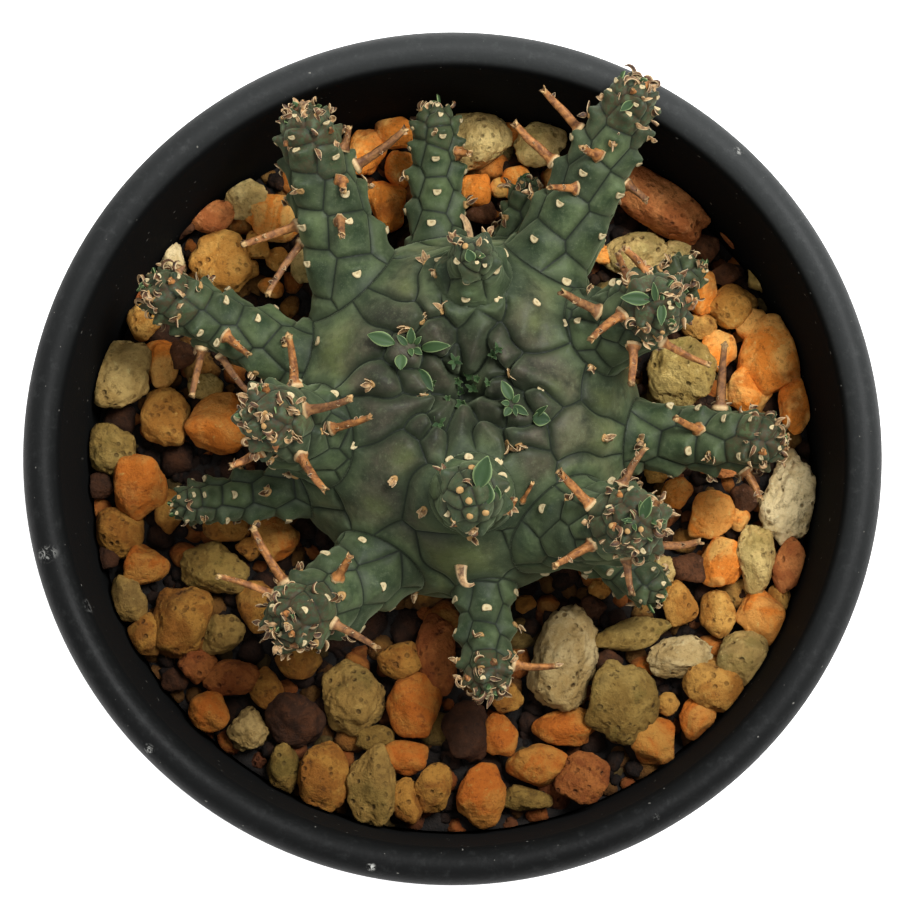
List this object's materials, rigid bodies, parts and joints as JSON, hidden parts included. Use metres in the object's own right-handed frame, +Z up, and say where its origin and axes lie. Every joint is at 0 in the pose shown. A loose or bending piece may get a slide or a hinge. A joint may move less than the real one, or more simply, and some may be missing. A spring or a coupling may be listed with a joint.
{
  "type": "potted euphorbia",
  "caption": "Globose many-armed euphorbia with tubercled grey-green arms and dried flower stalks, in a stone-topped mix in a round black plastic nursery pot.",
  "frame": {"origin": "middle of the pot's foot, on the surface it stands on", "axes": "+Z up along the pot's axis, +Y away from the viewer of the picture (its top edge), +X to the viewer's right"},
  "size_m": [0.09, 0.09, 0.089],
  "materials": {
    "pot_plastic": "charcoal black, satin, fine handling scuffs",
    "potting_stones": "dry porous grit in ochre, orange, cream, grey-white and brown",
    "succulent_skin": "waxy grey-green succulent skin with near-black sutures and pale leaf scars"
  },
  "bodies": {
    "root": {"pot": "pot_plastic", "potting_mix": "potting_stones", "stem_body": "succulent_skin", "arm_north_west_long": "succulent_skin", "arm_north_low": "succulent_skin", "arm_north_east_long": "succulent_skin", "arm_north_bud": "succulent_skin", "arm_east_north_low": "succulent_skin", "arm_east_north_upper": "succulent_skin", "arm_east_long": "succulent_skin", "arm_east_south_upper": "succulent_skin", "arm_east_south_low": "succulent_skin", "arm_south": "succulent_skin", "arm_south_west": "succulent_skin", "arm_west_low": "succulent_skin", "arm_west_upper": "succulent_skin", "arm_north_west_low": "succulent_skin", "crown_arm_north": "succulent_skin", "crown_arm_south": "succulent_skin"}
  },
  "joints": []
}
